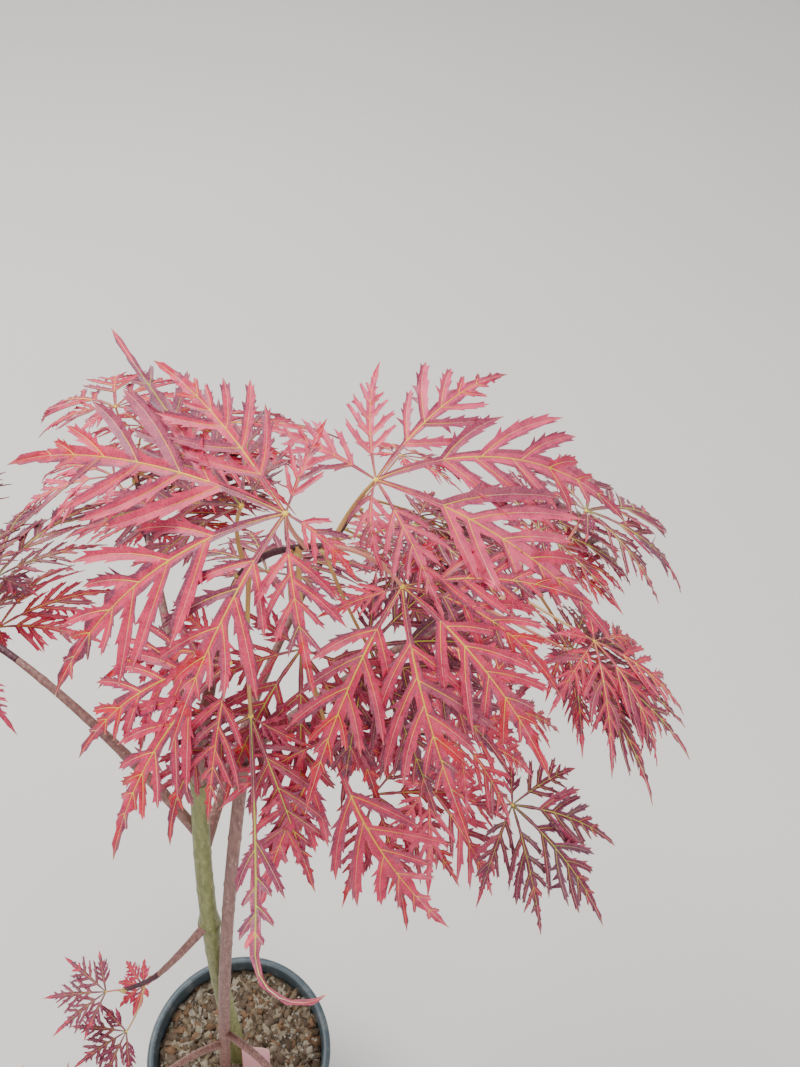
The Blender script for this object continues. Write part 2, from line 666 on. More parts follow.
def rib_of(leaf, lobe, steps=LOBE_STEPS):
    """The midrib of one lobe: its points, and the directions across and out of the blade."""
    tilt, toward = (math.radians(a) for a in leaf["tilt"])
    normal = np.array([math.sin(tilt) * math.cos(toward), math.sin(tilt) * math.sin(toward),
                       math.cos(tilt)])
    ahead = unit(np.array([1.0, 0, 0]) - normal * normal[0])
    left = np.cross(normal, ahead)
    points, tangents = [np.array(leaf["node"], float)], []
    for i in range(steps):
        t = (i + 0.5) / steps
        curl = lobe.get("curl", 0) * max(0, (t - CURL_FROM) / (1 - CURL_FROM))
        turn = math.radians(lobe["bearing"] + lobe["sweep"] * t + curl)
        dip = math.radians(-LOBE_RISE + (lobe["droop"] + LOBE_RISE) * t)
        flat = ahead * math.cos(turn) + left * math.sin(turn)
        tangents.append(unit(flat * math.cos(dip) - UP * math.sin(dip)))
        points.append(points[-1] + tangents[-1] * lobe["length"] / steps)
    tangents.insert(0, tangents[0])
    sides = [unit(np.cross(normal, tangent)) for tangent in tangents]
    faces = [np.cross(tangent, side) for tangent, side in zip(tangents, sides)]
    return np.array(points), np.array(sides), np.array(faces)


def on_rib(rib, length, along, across, over):
    """Places on a lobe, from millimetres along its midrib, across it and out of its face."""
    points, sides, faces = rib
    steps = len(points) - 1
    step = np.clip(np.asarray(along, float) / length * steps, 0, steps)
    low = np.minimum(step.astype(int), steps - 1)
    share = (step - low)[..., None]

    def mix(rows):
        return rows[low] * (1 - share) + rows[low + 1] * share

    side, face = units(mix(sides)), units(mix(faces))
    return mix(points) + side * np.asarray(across)[..., None] + face * np.asarray(over)[..., None]


def leaf_samples(leaf):
    points = []
    for lobe in leaf["lobes"]:
        rib = rib_of(leaf, lobe)
        points.extend(rib[0][1:])
        if lobe["length"] >= SMALL_LOBE:
            for along, across in SAMPLES:
                for hand in (1, -1):
                    points.append(on_rib(rib, lobe["length"], along * lobe["length"],
                                         hand * across * lobe["length"], 0.0))
    return points


def stalk_curve(start, way, node):
    return Bend(start, start + way * math.dist(start, node) * STALK_SPRING, node)


def throw_leaf(start, along, out, size, roll):
    """One leaf on its stalk, thrown by dice from a place on a twig, on one side of it."""
    way = unit(out + along * roll(*FORWARD_PLAY))
    length = size * roll(*STALK_SHARE)
    node = start + way * length
    node = node - UP * length * roll(*STALK_SAG)
    outward = math.atan2(node[1] - CROWN_AXIS[1], node[0] - CROWN_AXIS[0])
    heading = math.atan2(node[1] - start[1], node[0] - start[0])
    tilt = (roll(*LEAF_TILT), math.degrees(outward))
    turn = math.degrees(heading) + roll(*LEAF_TURN)
    size *= roll(*LEAF_SIZE)
    lobes = [{"bearing": turn + bearing + roll(*BEARING_PLAY), "length": size * share * roll(*LENGTH_PLAY),
              "sweep": roll(*SWEEP_PLAY), "droop": droop + roll(*DROOP_PLAY)}
             for bearing, share, droop in zip(LOBE_BEARINGS, LOBE_LENGTHS, LOBE_DROOPS)]
    return {"node": node, "tilt": tilt, "lobes": lobes, "stalk": stalk_curve(start, way, node)}


def stem_from(curve, end):
    way = curve.tangent(1)
    start = curve.point(1) + way * GAP
    reach = math.dist(start, end)
    return Bend(start, start + way * reach * STEM_SPRING, end)


def leaves_by_rule(name, stem, seed, size, pairs):
    roll = dice(seed)
    leaves = []
    for pair in range(pairs):
        t = LAST_PAIR - PAIR_SPAN * (pairs - 1 - pair) / max(pairs - 1, 1)
        start, along = stem.point(t), stem.tangent(t)
        across = unit(np.cross(UP, along))
        over = np.cross(along, across)
        for hand in (1, -1):
            for _ in range(THROWS):
                cross = math.radians((0 if (pair + pairs) % 2 else CROSS_TURN) + roll(*CROSS_PLAY))
                out = across * hand * math.cos(cross) + over * hand * math.sin(cross)
                leaf = throw_leaf(start, along, out, size, roll)
                samples = leaf_samples(leaf)
                if is_free(name, samples):
                    claim(name, samples, 0)
                    leaves.append(leaf)
                    break
    return leaves


LOBE_COLUMNS = ("bearing", "length", "sweep", "droop", "curl")


def leaves_by_hand(name, stem, rows):
    leaves = []
    for node, tilt, start_at, way, lobes in rows:
        start = stem.point(start_at)
        node = np.array(node, float)
        leaf = {"node": node, "tilt": tilt, "lobes": [dict(zip(LOBE_COLUMNS, lobe)) for lobe in lobes],
                "stalk": stalk_curve(start, unit(np.array(way, float)), node)}
        claim(name, leaf_samples(leaf), 0)
        leaves.append(leaf)
    return leaves


# The top leaves, by hand, lobe by lobe: node, tilt, where and which way the stalk leaves the
# stem, and for each lobe its bearing, length, sweep and droop. The two dried ones have the
# turn of their ends too: the long hanging one curls, the one at the back is straight.
TOP_LEAVES = [
    ([37, 28, 575], (28, 250), 0.85, (-0.2, -0.5, 1), [
        (130, 67, 3, 30), (163, 98, 0, 40), (200, 90, 23, 55), (244, 70, 0, 50), (280, 48, 16, 45),
        (335, 26, -18, 30), (75, 28, 0, 20)]),
    ([58, 53, 563], (22, 290), 1, (0.3, 0.6, 0.6), [
        (158, 39, 0, 20), (108, 40, -28, 20), (60, 64, -10, 35), (28, 94, -30, 50), (345, 92, 0, 50),
        (305, 45, 0, 35), (258, 28, 50, 30)]),
    ([68, 31, 545], (30, 275), 1, (1, -0.2, 0.3), [
        (80, 20, -50, 15), (14, 58, -14, 30), (353, 60, -27, 45), (323, 74, -3, 50), (280, 80, 35, 55),
        (245, 72, 9, 50), (205, 26, -7, 25)]),
    ([29, 4, 513], (50, 265), 0.35, (0.1, -0.9, -0.1), [
        (215, 55, 55, 35), (277, 108, -2, -67, 97), (294, 63, 4, 45), (330, 20, 20, 10),
        (182, 25, 10, 12)]),
    ([52, 4, 504], (45, 290), 0.8, (0.1, -0.8, -0.4), [
        (288, 80, 46, 35), (349, 30, -19, 10), (245, 60, 10, 40), (205, 40, 10, 35), (20, 25, 0, 20)]),
    ([22, 44, 557], (20, 200), 0.3, (-0.4, 0.6, 0.6), [
        (134, 84, -6, -8, 0), (172, 60, 20, 20), (205, 50, 20, 35), (95, 45, 0, 15), (60, 25, 0, 15)]),
    ([22, 14, 524], (40, 235), 0.2, (-0.2, -0.8, 0.2), [
        (226, 84, 19, 55), (168, 55, 45, 35), (195, 72, 25, 45), (265, 50, 0, 50), (140, 30, 0, 30)]),
    ([41, 22, 522], (40, 275), 0.75, (0, -0.8, -0.2), [
        (275, 62, 0, 60), (240, 58, 8, 55), (310, 60, -8, 55), (345, 40, 0, 35), (200, 36, 0, 35),
        (150, 22, 0, 20)]),
    ([60, 27, 519], (30, 300), 0.95, (0.4, -0.5, -0.7), [
        (300, 60, 8, 50), (335, 66, 0, 50), (12, 62, 0, 45), (265, 50, 0, 50), (50, 48, 0, 35),
        (90, 24, 0, 20)]),
]
SHOOT_LEAVES = [
    ([-37, -26, 318], (22, 200), 1, (-1, -0.2, 0.3), [
        (186, 33, 0, 20), (218, 30, 0, 25), (152, 29, 0, 15), (252, 20, 0, 20), (116, 18, 0, 10)]),
    ([-27, -38, 308], (26, 235), 0.5, (0, -1, -0.4), [
        (216, 30, 0, 25), (250, 28, 0, 25), (182, 28, 0, 20), (286, 19, 0, 15), (148, 17, 0, 10)]),
]
# For each mass: what carries it, the end of its stem and, where the rule throws its leaves, the
# seed of its dice, the size of its leaves and how many pairs.
MASSES = {
    "top": ("leader", [47, 41, 547]),
    "graft_shoot": ("graft_shoot", [-30, -24, 316]),
    "under": ("brown_stem", [92, 30, 462], 3, 54, 3),
    "left": ("left", [-92, 46, 482], 5, 64, 3),
    "back_left": ("back_left", [-40, 130, 480], 8, 66, 3),
    "back": ("back", [50, 146, 448], 4, 68, 5),
    "back_right": ("back_right", [128, 98, 462], 2, 66, 5),
    "front_left": ("front_left", [-74, -96, 204], 2, 60, 3),
    "front_right": ("front_right", [92, -102, 214], 7, 60, 3),
}
HAND_LEAVES = {"top": TOP_LEAVES, "graft_shoot": SHOOT_LEAVES}

claim_limb("trunk", trunk_curve, TRUNK_REACH)
claim_limb("brown_stem", brown_curve, BROWN_REACH)
for name, curve in bough_curves.items():
    claim_limb(f"bough_{name}", curve, BOUGH_FOOT_RADIUS)
stems = {}
for name, (carrier, end, *_) in MASSES.items():
    stems[name] = stem_from(bough_curves.get(carrier, brown_curve), end)
    claim_limb(name, stems[name], TWIG_RADIUS)
leaves = {}
for name, (_, _, *rule) in MASSES.items():
    if name in HAND_LEAVES:
        leaves[name] = leaves_by_hand(name, stems[name], HAND_LEAVES[name])
    else:
        leaves[name] = leaves_by_rule(name, stems[name], *rule)

# Twigs and leaf stalks
# Each mass's twig is the purple-brown end of its bough, as thick as a matchstick, with a ring
# at each old pair. A leaf stalk is a thin round salmon stem, broader where it meets the twig,
# and a pale scaly bud sits at its foot.
TWIG_TIP = 0.9
TWIG_CORE_INSET = 0.03
STALK_FOOT = 0.8
STALK_TIP = 0.58
STALK_SWELL = 0.35
SWELL_FADE = 18
STALK_SIDES = 8
STALK_STEPS = 14
THINNEST_STALK = 0.6
SMALLEST_KNOB = 0.55
KNOB_RISE = 0.05
# Where buds sit: ahead of the twig's end, and along a stalk and beside it.
BUD_AHEAD = 0.9
BUD_ALONG = 0.04
BUD_ASIDE = 1.1

twig_bark = bark("purple_twig_bark", "#5E3540", "#3F222B", "#9A7A70", streak=1.2, relief=0.15)
stalk_skin = mottled("salmon_leaf_stalk", "#D98E7C", "#C9785E", scale=6, roughness=0.4, rough_bump=0.04)
shoot_skin = mottled("yellow_leaf_stalk", "#C8A75A", "#B97F55", scale=6, roughness=0.42, rough_bump=0.04)
bud_scale = mottled("pale_bud_scale", "#C9BE62", "#B98A5A", scale=1.5, roughness=0.4, rough_bump=0.03)


def joined(parts):
    """Several closed shapes, each with points and triangles, as one list of each."""
    points, faces, start = [], [], 0
    for some_points, some_faces in parts:
        points.append(some_points)
        faces.append(some_faces + start)
        start += len(some_points)
    return np.concatenate(points), np.concatenate(faces)


def within(value, low, high):
    return min(max(value, low), high)


def stalk(curve, share):
    """A leaf's stalk, at a share of the full thickness, with a swollen foot on the twig."""
    foot, tip = STALK_FOOT * share, STALK_TIP * share

    def radius(t, angles, height):
        swell = STALK_SWELL * foot * math.exp(-t * SWELL_FADE)
        return tip + (foot - tip) * (1 - t) ** 2 + swell + 0 * angles

    return limb(curve, radius, STALK_SIDES, STALK_STEPS)


def bulb(middle, way, length, girth, sides=8):
    """A small closed egg along a way, blunt at its ends: a bud, or the knob where veins meet."""
    def radius(t, angles, height):
        return girth * math.sin(math.pi * (0.06 + 0.88 * t)) ** 0.8 + 0 * angles

    return limb(Bend(middle - way * length / 2, middle, middle + way * length / 2), radius, sides, steps=6)


# Leaves
# Each leaf is a star of five to seven lobes cut almost to the midrib into toothed side lobes.
# A blade is thin, folds up from each vein, and droops. Its tint is dealt out by spray.
BLADE_HALF = 0.13
RIB_STEPS = 32
# A lobe of full length has full widths, and others have theirs in step, within these shares.
FULL_LENGTH = 80
LEAST_SCALE = 0.42
MOST_SCALE = 1.15
LARGE_LOBE = 44
MIDDLING_LOBE = 24
# How finely lobes are cut, small, middling and large: stations along the midrib, side lobes to
# a side, and steps along a side lobe.
FINENESS = [(11, 4, 3), (11, 6, 5), (19, 6, 5)]
# From what length in millimetres a side lobe has a vein, a fold, two teeth and three.
VEINED_FROM = 4
FOLDED_FROM = 8
TOOTHED_FROM = (9, 16)
SIDE_LOBES = [(0.23, 0.33, 42), (0.36, 0.34, 40), (0.5, 0.27, 37), (0.63, 0.17, 33), (0.75, 0.095, 30),
              (0.86, 0.055, 28)]
STRIP = [(0, 0.5), (0.05, 0.7), (0.2, 0.8), (0.3, 1.3), (0.45, 2.1), (0.57, 2.3), (0.68, 1.9),
         (0.8, 1.35), (0.91, 0.9), (1, 0)]
# How much lobes vary. The side lobes are drawn in by a share, so that bare tips differ in length.
TIP_DRAWN = (0.84, 1.0)
MARGIN_PLAY = (0.86, 1.15)
SIDE_LENGTH = (0.78, 1.16)
SIDE_PLACE = (-0.02, 0.02)
SIDE_ANGLE = (-5, 5)
SIDE_WIDTH = (0.85, 1.2)
TOOTH_PLACE = (-0.2, 0.2)
TOOTH_PLAY = (0.5, 1.3)
SIDE_LIFT = (-0.2, 0.12)
MIDRIB_TWIST = (-0.12, 0.12)
SIDE_TWIST = (-0.45, 0.45)
# The long hanging lobe has dried back to its rib, with a few side lobes near its middle.
HANGING_LOBES = [(0.37, 0.15, 32), (0.46, 0.07, 42), (0.54, 0.08, 45), (0.61, 0.05, 40)]
HANGING_STRIP = [(0, 0.45), (0.34, 0.5), (0.4, 1.0), (0.58, 1.3), (0.66, 0.7), (0.8, 0.55),
                 (0.95, 0.45), (1, 0)]
# The other dried lobe has kept its inner half.
WITHERED_LOBES = [(0.22, 0.3, 40), (0.35, 0.24, 38), (0.53, 0.24, 44), (0.72, 0.1, 36)]
WITHERED_STRIP = [(0, 0.5), (0.15, 0.8), (0.3, 1.8), (0.45, 2.6), (0.55, 1.9), (0.62, 1.2), (0.8, 0.9),
                  (0.95, 0.7), (1, 0)]
LOBE_KINDS = {"full": (STRIP, SIDE_LOBES), "hanging": (HANGING_STRIP, HANGING_LOBES),
              "withered": (WITHERED_STRIP, WITHERED_LOBES)}
SIDE_SHAPE = [(0, 0.6), (0.15, 0.72), (0.35, 0.94), (0.55, 1), (0.72, 0.82), (0.88, 0.42), (1, 0)]
# A side lobe's vein leaves the midrib steeply and bends towards the tip, in shares of its angle.
SIDE_START = 1.12
SIDE_BEND = 0.5
# Half widths are in millimetres, and grow by a share of the side lobe's own length.
SIDE_HALF = 0.75
SIDE_HALF_GROWTH = 0.04
WEB = 1.1
# Every second station of the midrib's blade stands out as a small tooth, by this much more.
STRIP_TOOTH = 0.18
STRIP_TOOTH_SHARE = 0.12
# A margin's foot: shares along the side lobe, of its half width and of the web to the midrib.
MARGIN_FOOT = [(0, 0.7, 1), (0.13, 0.8, 0.25)]
MARGIN_END = 0.99
# Teeth of a side lobe: how high, where along it the first stands and how far they reach, how
# far each leans ahead, and how deep the notch is that follows it.
TOOTH_SHARE = 0.05
TALLEST_TOOTH = 0.7
INNER_TOOTH = 0.8
FIRST_TOOTH = 0.34
TOOTH_SPAN = 0.5
ONLY_TOOTH = 0.62
TOOTH_LEAN = 0.03
NOTCH = 0.88
LOBULE = 2.2
# How far out from its vein, as a share of the half width, a blade keeps its main tint.
HEARTS = (0.5, 0.85)
FOLD_SHARES = np.array([0.06, 0.25, 0.45, 0.65, 0.85])
FOLD_SLOPE = 0.4
# The midrib's half width at shares of the lobe: full in the hub, thin to the first fork.
MIDRIB_WIDTHS = ([0, 0.06, 0.17, 0.24, 0.4, 1], [0.46, 0.24, 0.25, 0.52, 0.42, 0.16])
SIDE_VEIN_WIDTHS = (0.3, 0.12)
FULL_VEIN_LENGTH = 75
THINNEST_VEIN = 0.4
VEIN_FOOT = 0.05
VEIN_STAND = 0.8
# Where along a vein each tint ends, before the cream of its outer end.
MIDRIB_MARKS = (0.06, 0.2, 0.75)
SIDE_VEIN_MARKS = (0.3, 0.5)
BLADE_TINTS = {
    "crimson_rose": "#CF2D55", "coral": "#DE4A6E", "deep_crimson": "#A62346", "old_rose": "#A63C5A",
    "mauve_rose": "#873751", "dusky_mauve": "#6E3E53", "bright_red": "#CE1232", "wine": "#742341",
}
VEIN_TINTS = {"yellow": "#F8D750", "peach": "#E39A80", "cream": "#F7CDA6", "green_yellow": "#CFD556"}
YELLOW, PEACH, CREAM, GREEN_YELLOW = range(len(VEIN_TINTS))
TINT_NAMES = list(BLADE_TINTS)
SOFTER_EDGE = "old_rose"
# Up to here along the midrib the blade is a bare wing, and from there on it is a tip.
BARE = 0.23
TIP_FROM = 0.8
# The outline of the first side lobe that may have the tint of the tips, in the fourth pair.
FIRST_OUTER = 7
# How many side lobes have an odd tint or that of the tips, and how many margins a soft one.
ODD_SIDE_LOBES = 0.13
SECOND_TINTED = 0.06
TIP_TINTED = 0.65
PLAIN_EDGES = 0.4
SOFT_EDGES = 0.5
# Each spray's three tints: most of the blade, its margins and bare wings, and the tips.
SPRAYS = {
    "rosy": ("crimson_rose", "mauve_rose", "bright_red"),
    "coral": ("coral", "old_rose", "crimson_rose"),
    "rose": ("crimson_rose", "old_rose", "coral"),
    "dusky": ("mauve_rose", "dusky_mauve", "crimson_rose"),
    "crimson": ("deep_crimson", "mauve_rose", "bright_red"),
    "wine": ("wine", "dusky_mauve", "deep_crimson"),
}
DRIED = "dusky"
GREEN_VEINED = ["dusky", "wine", "crimson"]


def along_table(table, at):
    return np.interp(at, [row[0] for row in table], [row[1] for row in table])


def side_axis(start, angle, length, hand, steps):
    """The vein of a side lobe: it leaves the midrib at an angle and curves towards the tip."""
    points = [np.array([start, 0.0])]
    for i in range(steps):
        turn = math.radians(angle * (SIDE_START - SIDE_BEND * (i + 0.5) / steps))
        points.append(points[-1] + length / steps * np.array([math.cos(turn), hand * math.sin(turn)]))
    return np.array(points)


def at_share(line, shares):
    """Points and left-hand normals at shares of a polyline's length."""
    steps = len(line) - 1
    place = np.asarray(shares) * steps
    low = np.minimum(place.astype(int), steps - 1)
    share = (place - low)[:, None]
    ahead = units(np.diff(line, axis=0))[low]
    return line[low] * (1 - share) + line[low + 1] * share, np.stack([-ahead[:, 1], ahead[:, 0]], 1)


def toothed_margin(line, hand, width, teeth, tooth, web, roll):
    """One margin of a side lobe, from its foot to its tip, with forward-pointing teeth. The web
    is how much broader the foot is, where it runs into the midrib's blade. Where there are more
    than three teeth, the first is a small lobe itself."""
    shares = [share for share, _, _ in MARGIN_FOOT]
    offsets = [broad * width + webbed * web for _, broad, webbed in MARGIN_FOOT]
    for i in range(teeth):
        peak = ONLY_TOOTH
        if teeth > 1:
            peak = FIRST_TOOTH + TOOTH_SPAN * (i + roll(*TOOTH_PLACE)) / (teeth - 1)
        out = along_table(SIDE_SHAPE, peak) * width
        high = tooth * roll(*TOOTH_PLAY) * (LOBULE if i == 0 and teeth > 3 else 1)
        foot = peak - 0.5 / (teeth + 1.5)
        shares += [foot, peak + TOOTH_LEAN, peak]
        offsets += [along_table(SIDE_SHAPE, foot) * width, out + high, out * NOTCH]
    points, normals = at_share(line, np.clip(shares, 0, MARGIN_END))
    return points + hand * normals * np.array(offsets)[:, None]


def left_turning(outline):
    """The outline in the order that keeps its inside on the left."""
    ahead = np.roll(outline, -1, axis=0)
    turn = (outline[:, 0] * ahead[:, 1] - ahead[:, 0] * outline[:, 1]).sum()
    return outline if turn > 0 else outline[::-1]


def lobe_plan(length, kind, detail, roll):
    """A lobe laid flat: its outlines, its veins, its folds, and for each vein the half width of
    its blade and the shares of it that keep the main tint."""
    scale = within(length / FULL_LENGTH, LEAST_SCALE, MOST_SCALE)
    station_count, pairs, steps = FINENESS[detail]
    stations = np.linspace(0, 1, station_count)
    strip, side_lobes = LOBE_KINDS[kind]
    plain = along_table(strip, stations) * scale
    margins, folds = [], []
    hearts = [[roll(*HEARTS), roll(*HEARTS)]]
    for hand, heart in zip((1, -1), hearts[0]):
        at, half = stations.copy(), plain.copy()
        at[2:-1:2] += 0.5 / station_count
        half[1:-1] *= [roll(*MARGIN_PLAY) for _ in half[1:-1]]
        half[2:-1:2] += STRIP_TOOTH * scale + STRIP_TOOTH_SHARE * plain[2:-1:2]
        margins.append(np.stack([at * length, hand * half], 1))
        folds.append(np.stack([stations * length, hand * heart * plain], 1)[1:-1])
    outlines = [np.concatenate([margins[0], margins[1][-2::-1]])]
    veins, breadths = [np.stack([stations * length, 0 * stations], 1)], [scale]
    drawn = roll(*TIP_DRAWN)
    for begin, reach, angle in side_lobes[:pairs]:
        for hand in (1, -1):
            size = reach * length * roll(*SIDE_LENGTH)
            start = (begin * drawn + roll(*SIDE_PLACE)) * length
            line = side_axis(start, angle + roll(*SIDE_ANGLE), size, hand, steps)
            width = (SIDE_HALF * scale + SIDE_HALF_GROWTH * size) * roll(*SIDE_WIDTH)
            tooth = min(TOOTH_SHARE * size, TALLEST_TOOTH)
            teeth = 1 + sum(detail > 1 and size >= limit for limit in TOOTHED_FROM)
            outer = toothed_margin(line, hand, width, teeth + (detail > 0), tooth, 0, roll)
            inner = toothed_margin(line, -hand, width, teeth, INNER_TOOTH * tooth, WEB * scale, roll)
            outlines.append(np.concatenate([outer, line[-1:], inner[::-1]]))
            veins.append(line)
            breadths.append(width)
            hearts.append([roll(*HEARTS), roll(*HEARTS)])
            if size > FOLDED_FROM:
                points, normals = at_share(line, FOLD_SHARES)
                aside = normals * (width * along_table(SIDE_SHAPE, FOLD_SHARES))[:, None]
                folds += [points + hearts[-1][0] * aside, points - hearts[-1][1] * aside]
    return outlines, veins, folds if detail > 1 else [], np.array(breadths), np.array(hearts)


def triangulated(outlines, lines):
    """The union of flat outlines, cut into triangles that keep the lines as edges, with the
    number of the outline that each triangle lies in."""
    points, edges, faces = [], [], []
    for outline in outlines:
        faces.append(list(range(len(points), len(points) + len(outline))))
        points += [Vector(p) for p in left_turning(outline)]
    for line in lines:
        edges += [(len(points) + i, len(points) + i + 1) for i in range(len(line) - 1)]
        points += [Vector(p) for p in line]
    flat, _, triangles, _, _, owners = delaunay_2d_cdt(points, edges, faces, 1, 1e-4, True)
    kept = [(triangle[:], max(ids)) for triangle, ids in zip(triangles, owners) if ids]
    used = sorted({corner for triangle, _ in kept for corner in triangle})
    number = {corner: i for i, corner in enumerate(used)}
    return (np.array([flat[corner][:] for corner in used]),
            np.array([[number[corner] for corner in triangle] for triangle, _ in kept]),
            np.array([owner for _, owner in kept]))


def nearest_vein(flat, veins):
    """For each point: which vein is nearest, how far along it lies and how far to the side."""
    starts = np.concatenate([vein[:-1] for vein in veins])
    steps = np.concatenate([np.diff(vein, axis=0) for vein in veins])
    number = np.concatenate([np.full(len(vein) - 1, i) for i, vein in enumerate(veins)])
    order = np.concatenate([np.arange(len(vein) - 1) / (len(vein) - 1) for vein in veins])
    off = flat[:, None] - starts
    share = np.clip((off * steps).sum(axis=2) / (steps * steps).sum(axis=1), 0, 1)
    off = off - share[..., None] * steps
    best = (off * off).sum(axis=2).argmin(axis=1)
    row = np.arange(len(flat))
    off, step = off[row, best], steps[best]
    side = np.sign(step[:, 0] * off[:, 1] - step[:, 1] * off[:, 0])
    along = order[best] + share[row, best] / np.array([len(vein) - 1 for vein in veins])[number[best]]
    return number[best], along, side * np.linalg.norm(off, axis=1)


def blade_solid(points, normals, triangles):
    """A thin closed blade: a top, an underside and the rim between them."""
    count = len(points)
    directed = dict.fromkeys(edge for a, b, c in triangles for edge in ((a, b), (b, c), (c, a)))
    rim = np.array([edge for edge in directed if (edge[1], edge[0]) not in directed])
    faces = [triangles, triangles[:, ::-1] + count,
             np.stack([rim[:, 1], rim[:, 0], rim[:, 0] + count], 1),
             np.stack([rim[:, 1], rim[:, 0] + count, rim[:, 1] + count], 1)]
    return np.concatenate([points + normals * BLADE_HALF, points - normals * BLADE_HALF]), faces, rim


def vein_ridge(line, widths, normals):
    """A vein that stands up from the blade: a three-sided ridge along a line of points."""
    halves = units(np.cross(normals, units(np.gradient(line, axis=0)))) * widths[:, None]
    crest = line + normals * (BLADE_HALF + widths[:, None] * VEIN_STAND)
    rings = np.stack([line - halves - normals * VEIN_FOOT, line + halves - normals * VEIN_FOOT, crest], 1)
    count = len(line)
    points = rings.reshape(-1, 3)
    faces = []
    for i in range(count - 1):
        for a, b in ((0, 1), (1, 2), (2, 0)):
            low, high = i * 3, i * 3 + 3
            faces += [(low + a, low + b, high + b), (low + a, high + b, high + a)]
    faces += [(0, 2, 1), (count * 3 - 3, count * 3 - 2, count * 3 - 1)]
    return points, np.array(faces)


def dealt_tints(count, main, second, tip, roll):
    """For each outline of a lobe, a tint by dice, and one for each of its two margins."""
    colours = np.full(count, main, dtype=object)
    edges = np.full((count, 2), second, dtype=object)
    for i in range(count):
        chance = roll(0, 1)
        if i > 0 and chance < ODD_SIDE_LOBES:
            colours[i] = second if chance < SECOND_TINTED else SOFTER_EDGE
        elif i >= FIRST_OUTER and chance < TIP_TINTED:
            colours[i] = tip
        for k in (0, 1):
            if roll(0, 1) < PLAIN_EDGES:
                edges[i, k] = colours[i]
            elif colours[i] == tip:
                edges[i, k] = main
            elif roll(0, 1) < SOFT_EDGES:
                edges[i, k] = SOFTER_EDGE
    return colours, edges


def marked_vein(vein, points, normals, is_midrib, scale, green):
    """One vein in space, with its tint for each triangle: yellow, peach and cream by turns."""
    shares = np.linspace(0, 1, len(vein))
    widths = np.interp(shares, *MIDRIB_WIDTHS) if is_midrib else np.linspace(*SIDE_VEIN_WIDTHS, len(vein))
    ridge = vein_ridge(points, widths * scale, normals)
    share = np.append(np.repeat(np.linspace(0, 1, len(vein) - 1), 6), [0, 1])
    marks = MIDRIB_MARKS if is_midrib else SIDE_VEIN_MARKS
    tints = np.select([share < mark for mark in marks], [YELLOW, PEACH, YELLOW][: len(marks)], CREAM)
    return *ridge, np.where(tints == YELLOW, GREEN_YELLOW, tints) if green else tints


def grown_lobe(leaf, lobe, detail, roll):
    """A lobe in space: its blade with a tint for each triangle, and its veins."""
    length = lobe["length"]
    kind = "full" if "curl" not in lobe else "hanging" if lobe["curl"] else "withered"
    outlines, veins, folds, breadths, hearts = lobe_plan(length, kind, detail, roll)
    flat, triangles, owner = triangulated(outlines, veins + folds)
    lifts = np.array([0] + [roll(*SIDE_LIFT) for _ in veins[1:]])
    twists = np.array([roll(*MIDRIB_TWIST)] + [roll(*SIDE_TWIST) for _ in veins[1:]])
    sizes = np.array([math.dist(vein[0], vein[-1]) for vein in veins])
    rib = rib_of(leaf, lobe, RIB_STEPS)

    def placed(flat):
        which, share, signed = nearest_vein(flat, veins)
        over = FOLD_SLOPE * np.abs(signed) + lifts[which] * sizes[which] * share**2
        over = over + twists[which] * signed * share
        along = np.clip(flat[:, 0], 0, length * 0.9999)
        points = on_rib(rib, length, along, flat[:, 1], over)
        return points, on_rib(rib, length, along, flat[:, 1], over + 1) - points

    points, normals = placed(flat)
    solid_points, parts, rim = blade_solid(points, normals, triangles)
    main, second, tip = SPRAYS[leaf["spray"] if kind == "full" else DRIED]
    colours, edges = dealt_tints(len(outlines), main, second, tip, roll)
    middles = flat[triangles].mean(axis=1)
    reach = middles[:, 0] / length
    tints = colours[owner]
    tints[(owner == 0) & (reach < BARE)] = second
    tints[(owner == 0) & (reach > TIP_FROM)] = tip
    which, share, signed = nearest_vein(middles, veins)
    breadth = breadths[which] * np.where(which == 0, along_table(LOBE_KINDS[kind][0], share),
                                         along_table(SIDE_SHAPE, share))
    right = (signed < 0).astype(int)
    in_margin = (np.abs(signed) > hearts[which, right] * breadth) & (len(folds) > 0)
    tints[in_margin] = edges[which, right][in_margin]
    tints = np.array([TINT_NAMES.index(tint) for tint in tints])
    corner_tint = np.zeros(len(flat), int)
    corner_tint[triangles] = tints[:, None]
    rim_tints = corner_tint[rim[:, 0]]
    vein_points, vein_normals = placed(np.concatenate(veins))
    ends = np.cumsum([len(vein) for vein in veins])
    ridges = []
    for number, vein in enumerate(veins):
        if number == 0 or (detail > 0 and sizes[number] >= VEINED_FROM):
            own = slice(ends[number] - len(vein), ends[number])
            ridges.append(marked_vein(vein, vein_points[own], vein_normals[own], number == 0,
                                      within(length / FULL_VEIN_LENGTH, THINNEST_VEIN, 1),
                                      leaf["spray"] in GREEN_VEINED))
    return solid_points, np.concatenate(parts), np.concatenate([tints, tints, rim_tints, rim_tints]), ridges


